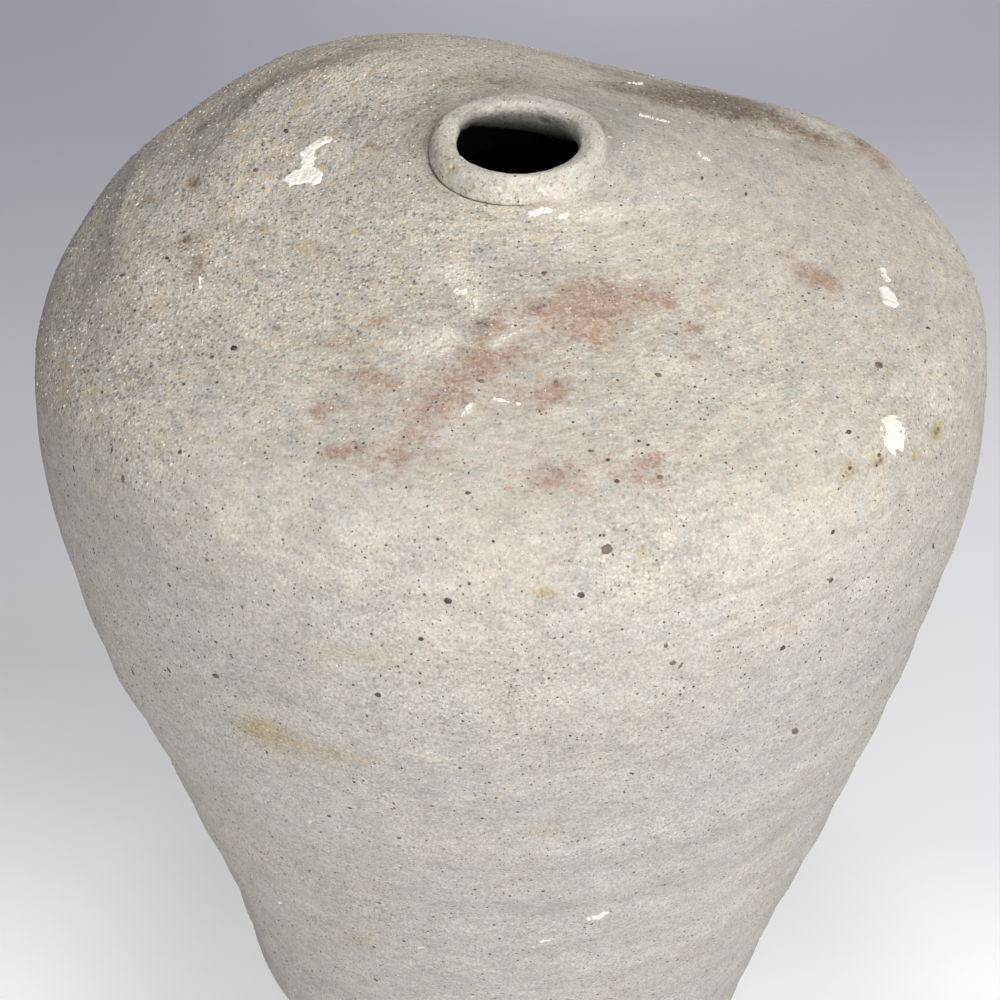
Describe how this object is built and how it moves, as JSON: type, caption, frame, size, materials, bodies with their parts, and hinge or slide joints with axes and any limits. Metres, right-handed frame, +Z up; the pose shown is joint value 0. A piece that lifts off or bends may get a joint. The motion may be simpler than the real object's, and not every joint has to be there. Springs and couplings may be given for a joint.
{
  "type": "mercury storage jar",
  "caption": "Thick-walled unglazed stoneware jar with a wide slumped shoulder, a narrow foot and a very small ring mouth, for holding mercury.",
  "frame": {"origin": "middle of the foot's flat underside, on the surface that the jar stands on", "axes": "+Z up along the jar's axis to the mouth; -Y is the front, the side towards the picture's camera; +X is to the right in the picture"},
  "size_m": [0.2017, 0.2017, 0.2679],
  "materials": {
    "stoneware": "dry matt unglazed grey-buff stoneware with dark iron specks and pale grit",
    "mouth_stoneware": "dry matt unglazed pale grey stoneware, smoothed by hand"
  },
  "bodies": {
    "root": {"base_disc": "stoneware", "body_wall": "stoneware", "shoulder_dome": "stoneware", "mouth_ring": "mouth_stoneware"}
  },
  "joints": []
}
